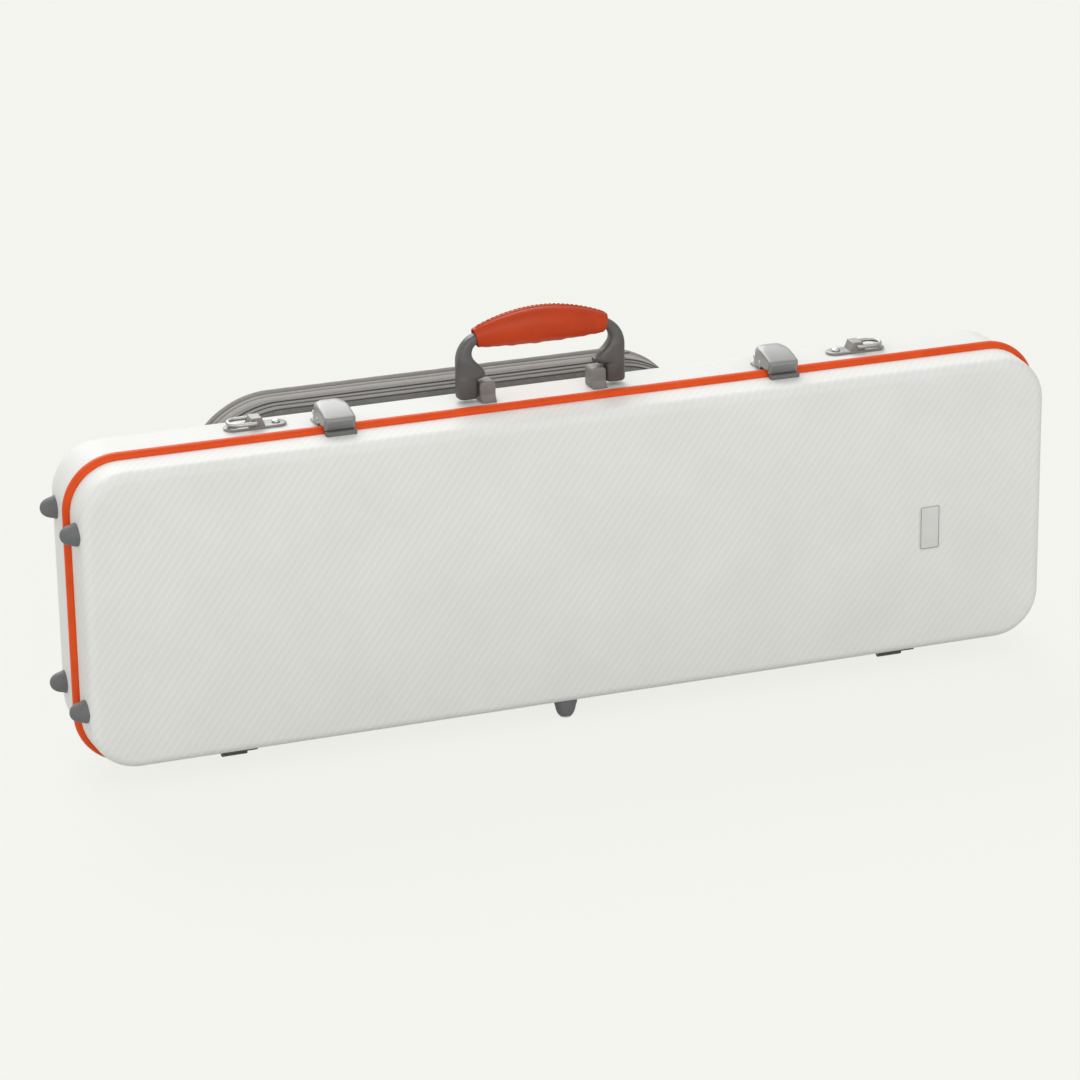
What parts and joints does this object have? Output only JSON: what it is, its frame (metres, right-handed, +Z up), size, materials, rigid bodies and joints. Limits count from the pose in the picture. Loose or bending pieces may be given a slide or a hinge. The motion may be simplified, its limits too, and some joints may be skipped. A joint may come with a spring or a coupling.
{
  "type": "violin case",
  "caption": "Oblong hard case for a violin: hinged two-part shell with seam trim, lever latches, folding handle, strap rings, padded tray and a zipped music pocket on its back.",
  "frame": {"origin": "centre of the bounding box's footprint, on the surface that the case's feet stand on", "axes": "+X along the case's length towards the end without bumpers, +Y from the lid to the music pocket, +Z up to the handle"},
  "size_m": [0.8162, 0.1587, 0.3267],
  "materials": {
    "white_shell": "satin",
    "orange_trim": "satin",
    "orange_leather": "satin",
    "grey_plastic": "satin",
    "latch_grey": "satin",
    "dark_rubber": "matte",
    "bright_steel": "polished",
    "pocket_fabric": "matte",
    "lining_fabric": "matte",
    "pale_plate": "satin"
  },
  "bodies": {
    "case_body": {"back_shell": "white_shell", "body_bumper_bottom": "dark_rubber", "body_bumper_top": "dark_rubber", "handle_bracket_left": "grey_plastic", "handle_bracket_right": "grey_plastic", "hinge_leaf_body_left": "grey_plastic", "hinge_leaf_body_right": "grey_plastic", "hinge_pin_left": "bright_steel", "hinge_pin_right": "bright_steel", "latch_base_left": "latch_grey", "latch_base_right": "latch_grey", "latch_lever_pin_left": "bright_steel", "latch_lever_pin_right": "bright_steel", "music_pocket": "pocket_fabric", "neck_cradle": "lining_fabric", "neck_strap": "lining_fabric", "pocket_fixing_panel": "lining_fabric", "pocket_piping": "pocket_fabric", "pocket_zip": "pocket_fabric", "rear_foot_left": "dark_rubber", "rear_foot_right": "dark_rubber", "seam_trim": "orange_trim", "strap_ring_plate_left": "grey_plastic", "strap_ring_plate_right": "grey_plastic", "strap_ring_rivet_left_inner": "bright_steel", "strap_ring_rivet_left_outer": "bright_steel", "strap_ring_rivet_right_inner": "bright_steel", "strap_ring_rivet_right_outer": "bright_steel", "violin_tray": "lining_fabric"},
    "lid": {"lid_shell": "white_shell", "lid_lining": "lining_fabric", "bow_tip_loops": "lining_fabric", "badge_plate": "pale_plate", "lid_bumper_top": "dark_rubber", "lid_bumper_bottom": "dark_rubber", "lid_foot": "dark_rubber", "hinge_leaf_lid_left": "grey_plastic", "hinge_leaf_lid_right": "grey_plastic", "latch_catch_left": "latch_grey", "latch_catch_right": "latch_grey"},
    "handle": {"handle_arch": "grey_plastic", "handle_grip": "orange_leather", "handle_pin_left": "grey_plastic", "handle_pin_right": "grey_plastic"},
    "zip_slider": {"zip_slider": "grey_plastic"},
    "zip_pull": {"zip_pull": "grey_plastic"},
    "bow_clip_left": {"bow_clip_left": "grey_plastic"},
    "strap_ring_left": {"strap_ring_left": "bright_steel"},
    "latch_lever_left": {"latch_lever_left": "latch_grey", "latch_link_pin_left": "bright_steel"},
    "latch_link_left": {"latch_link_left": "bright_steel"},
    "bow_clip_right": {"bow_clip_right": "grey_plastic"},
    "strap_ring_right": {"strap_ring_right": "bright_steel"},
    "latch_lever_right": {"latch_lever_right": "latch_grey", "latch_link_pin_right": "bright_steel"},
    "latch_link_right": {"latch_link_right": "bright_steel"}
  },
  "joints": [
    {"name": "lid_hinge", "type": "hinge", "parent": "case_body", "child": "lid", "pos_m": [0.00365, -0.04198, 0.0051], "axis": [1, 0, 0], "range_deg": [0, 100]},
    {"name": "handle_fold", "type": "hinge", "parent": "case_body", "child": "handle", "pos_m": [-0.00735, -0.01498, 0.2652], "axis": [1, 0, 0], "range_deg": [-75, 75]},
    {"name": "latch_lever_left", "type": "hinge", "parent": "case_body", "child": "latch_lever_left", "pos_m": [-0.18315, -0.01998, 0.2647], "axis": [-1, 0, 0], "range_deg": [0, 100]},
    {"name": "latch_link_left", "type": "hinge", "parent": "latch_lever_left", "child": "latch_link_left", "pos_m": [-0.18315, -0.03148, 0.2632], "axis": [1, 0, 0], "range_deg": [0, 60]},
    {"name": "strap_ring_left", "type": "hinge", "parent": "case_body", "child": "strap_ring_left", "pos_m": [-0.23925, -0.01098, 0.261], "axis": [0, 1, 0], "range_deg": [0, 170]},
    {"name": "bow_clip_left", "type": "hinge", "parent": "lid", "child": "bow_clip_left", "pos_m": [-0.14635, -0.06948, 0.1351], "axis": [0, 1, 0], "range_deg": [-90, 90]},
    {"name": "latch_lever_right", "type": "hinge", "parent": "case_body", "child": "latch_lever_right", "pos_m": [0.18385, -0.01998, 0.2647], "axis": [-1, 0, 0], "range_deg": [0, 100]},
    {"name": "latch_link_right", "type": "hinge", "parent": "latch_lever_right", "child": "latch_link_right", "pos_m": [0.18385, -0.03148, 0.2632], "axis": [1, 0, 0], "range_deg": [0, 60]},
    {"name": "strap_ring_right", "type": "hinge", "parent": "case_body", "child": "strap_ring_right", "pos_m": [0.26335, -0.01098, 0.261], "axis": [0, -1, 0], "range_deg": [0, 170]},
    {"name": "bow_clip_right", "type": "hinge", "parent": "lid", "child": "bow_clip_right", "pos_m": [0.15365, -0.06948, 0.1351], "axis": [0, 1, 0], "range_deg": [-90, 90]},
    {"name": "zip_slide", "type": "slide", "parent": "case_body", "child": "zip_slider", "axis": [-1, 0, 0], "range_m": [0, 0.26]},
    {"name": "zip_pull_swing", "type": "hinge", "parent": "zip_slider", "child": "zip_pull", "pos_m": [0.06715, 0.04852, 0.2584], "axis": [0, -1, 0], "range_deg": [0, 170]}
  ],
  "couplings": [
    {"joint": "latch_link_left", "follows": "latch_lever_left", "ratio": 0.5},
    {"joint": "latch_link_right", "follows": "latch_lever_right", "ratio": 0.5}
  ]
}
